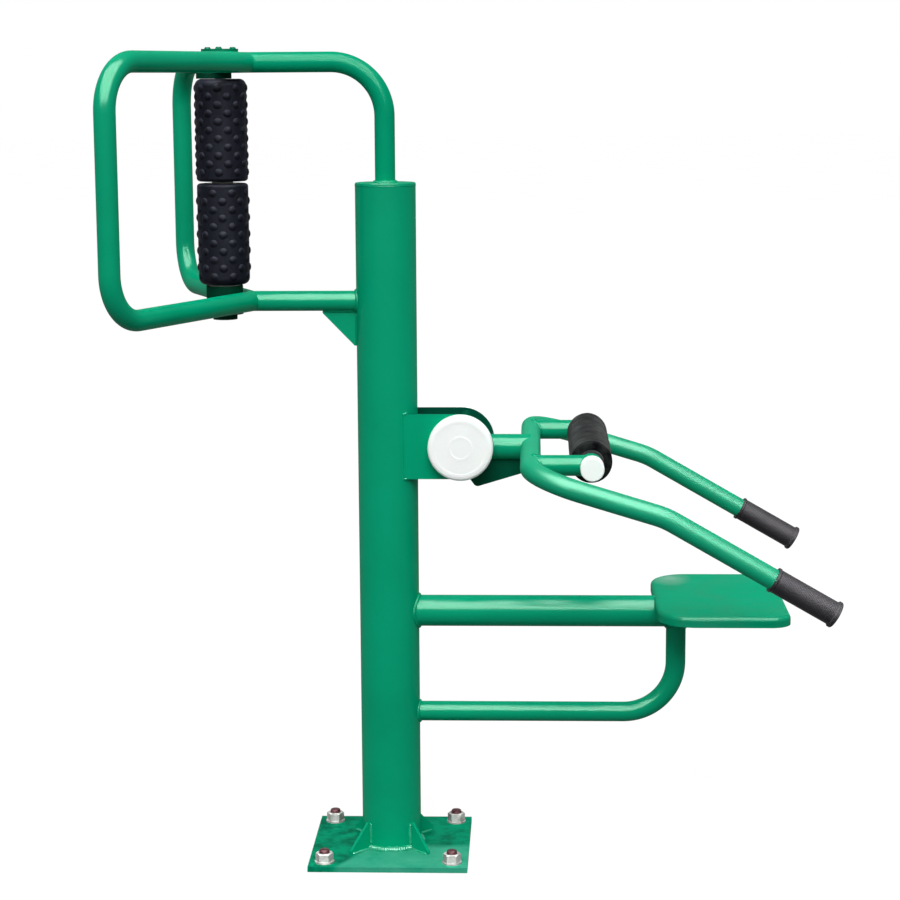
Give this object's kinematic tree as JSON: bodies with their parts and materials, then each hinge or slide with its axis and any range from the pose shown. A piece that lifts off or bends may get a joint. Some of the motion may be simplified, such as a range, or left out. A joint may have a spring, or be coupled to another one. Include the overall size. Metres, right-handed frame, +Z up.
{
  "type": "outdoor back roller station",
  "caption": "Outdoor fitness station: nubbed back rollers on a post between side handles, and a seat under a swinging lever with a foam roller and grips.",
  "frame": {"origin": "centre of the base plate's underside, on the axis of the post, at ground level", "axes": "+Z up; +X from the post towards the seat, so the back rollers are on the -X side; Y across the station, with the near side at -Y"},
  "size_m": [1.2877, 0.884, 1.5476],
  "materials": {
    "green_paint": "glossy powder coat",
    "zinc_steel": "zinc plated",
    "bearing_steel": "ground",
    "black_rubber": "satin moulded",
    "grip_rubber": "matt moulded",
    "foam": "closed-cell foam skin",
    "black_plastic": "matt",
    "white_plastic": "glossy moulded",
    "nylon": "machined"
  },
  "bodies": {
    "station_frame": {"base_plate": "green_paint", "foot_gussets": "green_paint", "anchor_washers": "zinc_steel", "anchor_nuts": "zinc_steel", "post_tube": "green_paint", "post_cap": "green_paint", "upper_frame_tube": "green_paint", "lower_frame_tube": "green_paint", "frame_gusset": "green_paint", "near_handle_loop": "green_paint", "far_handle_loop": "green_paint", "upper_hub": "green_paint", "lower_hub": "green_paint", "hub_cover": "green_paint", "cover_screws": "green_paint", "neck_ring": "green_paint", "roller_shaft": "zinc_steel", "middle_collar": "zinc_steel", "thrust_washer": "nylon", "near_bracket_plate": "green_paint", "far_bracket_plate": "green_paint", "stop_pins": "zinc_steel", "pivot_shaft": "zinc_steel", "pivot_spacers": "zinc_steel", "pivot_washers": "zinc_steel", "pivot_nuts": "zinc_steel", "near_pivot_cover": "white_plastic", "far_pivot_cover": "white_plastic", "seat_beam": "green_paint", "beam_end_plate": "green_paint", "seat_support_tube": "green_paint", "seat_pan": "green_paint", "seat_ribs": "green_paint"},
    "upper_back_roller": {"upper_roller_rubber": "black_rubber", "upper_roller_core": "zinc_steel", "upper_roller_bushes": "nylon"},
    "lower_back_roller": {"lower_roller_rubber": "black_rubber", "lower_roller_core": "zinc_steel", "lower_roller_bushes": "nylon"},
    "lever": {"lever_hub": "green_paint", "pivot_bearings": "bearing_steel", "lever_tube": "green_paint", "lever_web": "green_paint", "lever_fork": "green_paint", "fork_stubs": "green_paint", "foam_axle": "green_paint", "axle_end_caps": "white_plastic", "near_grip": "grip_rubber", "far_grip": "grip_rubber"},
    "foam_roll": {"foam_roller": "foam", "foam_liner": "black_plastic"}
  },
  "joints": [
    {"name": "upper_roller_spin", "type": "hinge", "parent": "station_frame", "child": "upper_back_roller", "pos_m": [-0.306, 0, 1.394], "axis": [0, 0, 1], "continuous": true},
    {"name": "lower_roller_spin", "type": "hinge", "parent": "station_frame", "child": "lower_back_roller", "pos_m": [-0.306, 0, 1.201], "axis": [0, 0, 1], "continuous": true},
    {"name": "lever_swing", "type": "hinge", "parent": "station_frame", "child": "lever", "pos_m": [0.14, 0, 0.802], "axis": [0, -1, 0], "range_deg": [0, 50]},
    {"name": "foam_roller_spin", "type": "hinge", "parent": "lever", "child": "foam_roll", "pos_m": [0.383, 0, 0.795], "axis": [0, 1, 0], "continuous": true}
  ]
}
